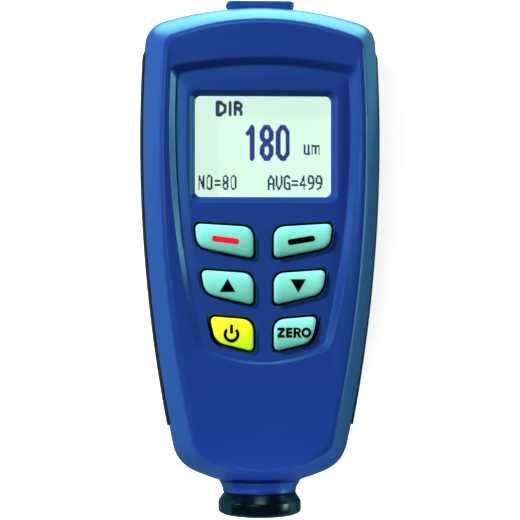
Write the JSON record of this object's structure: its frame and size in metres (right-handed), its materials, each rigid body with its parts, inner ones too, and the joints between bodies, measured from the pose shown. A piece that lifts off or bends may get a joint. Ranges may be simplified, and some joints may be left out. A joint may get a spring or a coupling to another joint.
{
  "type": "coating thickness gauge",
  "caption": "Handheld coating thickness gauge with a tapered moulded case, sunk display face, soft keys, side grips and a sprung measuring probe at the low end.",
  "frame": {"origin": "centre of the bounding box at the back face, with the gauge lying on its back", "axes": "+Z out of the display face, +Y toward the data port end, +X to the right of the display"},
  "size_m": [0.0536, 0.116, 0.027],
  "materials": {
    "blue_plastic": "satin moulded plastic",
    "grip_rubber": "matt soft rubber",
    "clear_lens": "polished clear plastic",
    "display_glass": "pale display glass",
    "white_plastic": "plain moulded",
    "diffuser_plastic": "milky diffuser",
    "strip_rubber": "layered elastomer",
    "board_laminate": "solder mask",
    "chip_plastic": "moulded black",
    "screw_steel": "zinc plated",
    "mat_silicone": "grey silicone",
    "key_teal": "satin moulded",
    "key_yellow": "satin moulded",
    "socket_steel": "tinned shell",
    "cover_rubber": "soft moulded rubber",
    "collar_plastic": "glossy black",
    "sleeve_brass": "turned",
    "tip_steel": "polished steel",
    "coil_copper": "enamelled wire",
    "spring_steel": "nickel plated",
    "lead_rubber": "insulated lead",
    "cell_wrap": "printed sleeve"
  },
  "bodies": {
    "gauge_case": {"front_housing": "blue_plastic", "rear_housing": "blue_plastic", "left_side_grip": "grip_rubber", "right_side_grip": "grip_rubber", "display_window": "clear_lens", "lcd_panel": "display_glass", "lcd_frame": "white_plastic", "backlight_panel": "diffuser_plastic", "lcd_connector_strip": "strip_rubber", "main_board": "board_laminate", "board_chips": "chip_plastic", "board_screws": "screw_steel", "case_screws": "screw_steel", "buzzer": "chip_plastic", "keypad_mat": "mat_silicone", "data_socket": "socket_steel", "probe_collar": "collar_plastic", "probe_sleeve": "sleeve_brass", "probe_spring": "spring_steel", "probe_end_cap": "chip_plastic", "probe_lead": "lead_rubber", "probe_connector": "white_plastic", "battery_cell_left": "cell_wrap", "battery_cell_right": "cell_wrap", "battery_springs": "spring_steel", "battery_plates": "spring_steel"},
    "key_left_soft": {"key_left_soft": "key_teal"},
    "key_right_soft": {"key_right_soft": "key_teal"},
    "key_up": {"key_up": "key_teal"},
    "key_down": {"key_down": "key_teal"},
    "key_power": {"key_power": "key_yellow"},
    "key_zero": {"key_zero": "key_teal"},
    "measuring_plunger": {"probe_plunger": "tip_steel", "probe_coil": "coil_copper"},
    "port_cover": {"data_port_cover": "cover_rubber"},
    "bay_door": {"battery_door": "blue_plastic"}
  },
  "joints": [
    {"name": "left_soft_press", "type": "slide", "parent": "gauge_case", "child": "key_left_soft", "axis": [0, 0, -1], "range_m": [0, 0.0008], "stiffness_N_per_m": 900, "deforming": ["keypad_mat"]},
    {"name": "right_soft_press", "type": "slide", "parent": "gauge_case", "child": "key_right_soft", "axis": [0, 0, -1], "range_m": [0, 0.0008], "stiffness_N_per_m": 900, "deforming": ["keypad_mat"]},
    {"name": "up_press", "type": "slide", "parent": "gauge_case", "child": "key_up", "axis": [0, 0, -1], "range_m": [0, 0.0008], "stiffness_N_per_m": 900, "deforming": ["keypad_mat"]},
    {"name": "down_press", "type": "slide", "parent": "gauge_case", "child": "key_down", "axis": [0, 0, -1], "range_m": [0, 0.0008], "stiffness_N_per_m": 900, "deforming": ["keypad_mat"]},
    {"name": "power_press", "type": "slide", "parent": "gauge_case", "child": "key_power", "axis": [0, 0, -1], "range_m": [0, 0.0008], "stiffness_N_per_m": 900, "deforming": ["keypad_mat"]},
    {"name": "zero_press", "type": "slide", "parent": "gauge_case", "child": "key_zero", "axis": [0, 0, -1], "range_m": [0, 0.0008], "stiffness_N_per_m": 900, "deforming": ["keypad_mat"]},
    {"name": "tip_slide", "type": "slide", "parent": "gauge_case", "child": "measuring_plunger", "axis": [0, 1, 0], "range_m": [0, 0.002], "stiffness_N_per_m": 500, "deforming": ["probe_spring"]},
    {"name": "cover_pull", "type": "slide", "parent": "gauge_case", "child": "port_cover", "axis": [0, 1, 0], "range_m": [0, 0.008]},
    {"name": "door_hinge", "type": "hinge", "parent": "gauge_case", "child": "bay_door", "pos_m": [0, -0.02295, 0.00095], "axis": [-1, 0, 0], "range_deg": [0, 60]}
  ]
}
